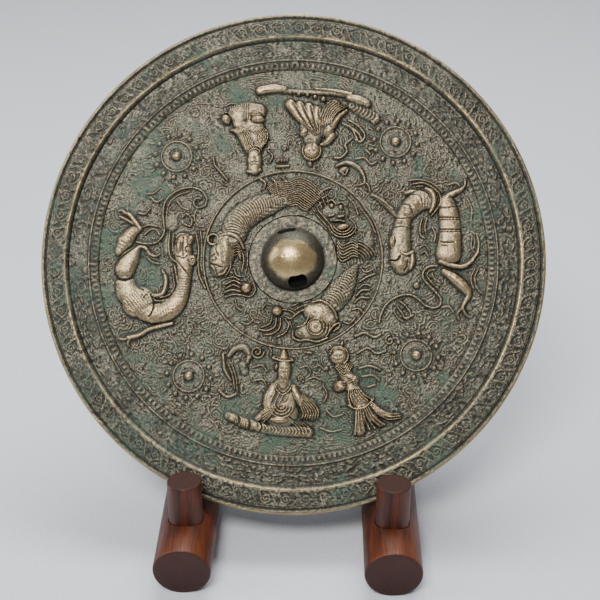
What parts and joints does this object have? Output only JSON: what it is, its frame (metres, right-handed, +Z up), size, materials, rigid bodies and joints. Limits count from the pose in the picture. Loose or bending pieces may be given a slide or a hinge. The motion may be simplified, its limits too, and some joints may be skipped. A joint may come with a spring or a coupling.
{
  "type": "ancient bronze mirror on a wooden cradle",
  "caption": "Round cast bronze mirror with figures, beasts and bosses in relief round a pierced knob, leaning back on a low cradle of round wood.",
  "frame": {"origin": "on the floor, under the middle of the whole object's box", "axes": "+Z up, +X to the right across the cradle, -Y towards the viewer in front of the decorated face"},
  "size_m": [0.24, 0.178, 0.2131],
  "materials": {
    "bronze": "grey-brown patina with green patches, relief polished golden",
    "wood": "red-brown turned wood, satin"
  },
  "bodies": {
    "root": {"bronze_mirror": "bronze", "left_foot_log": "wood", "right_foot_log": "wood", "left_front_peg": "wood", "right_front_peg": "wood", "left_back_post": "wood", "right_back_post": "wood", "cross_rail": "wood"}
  },
  "joints": []
}
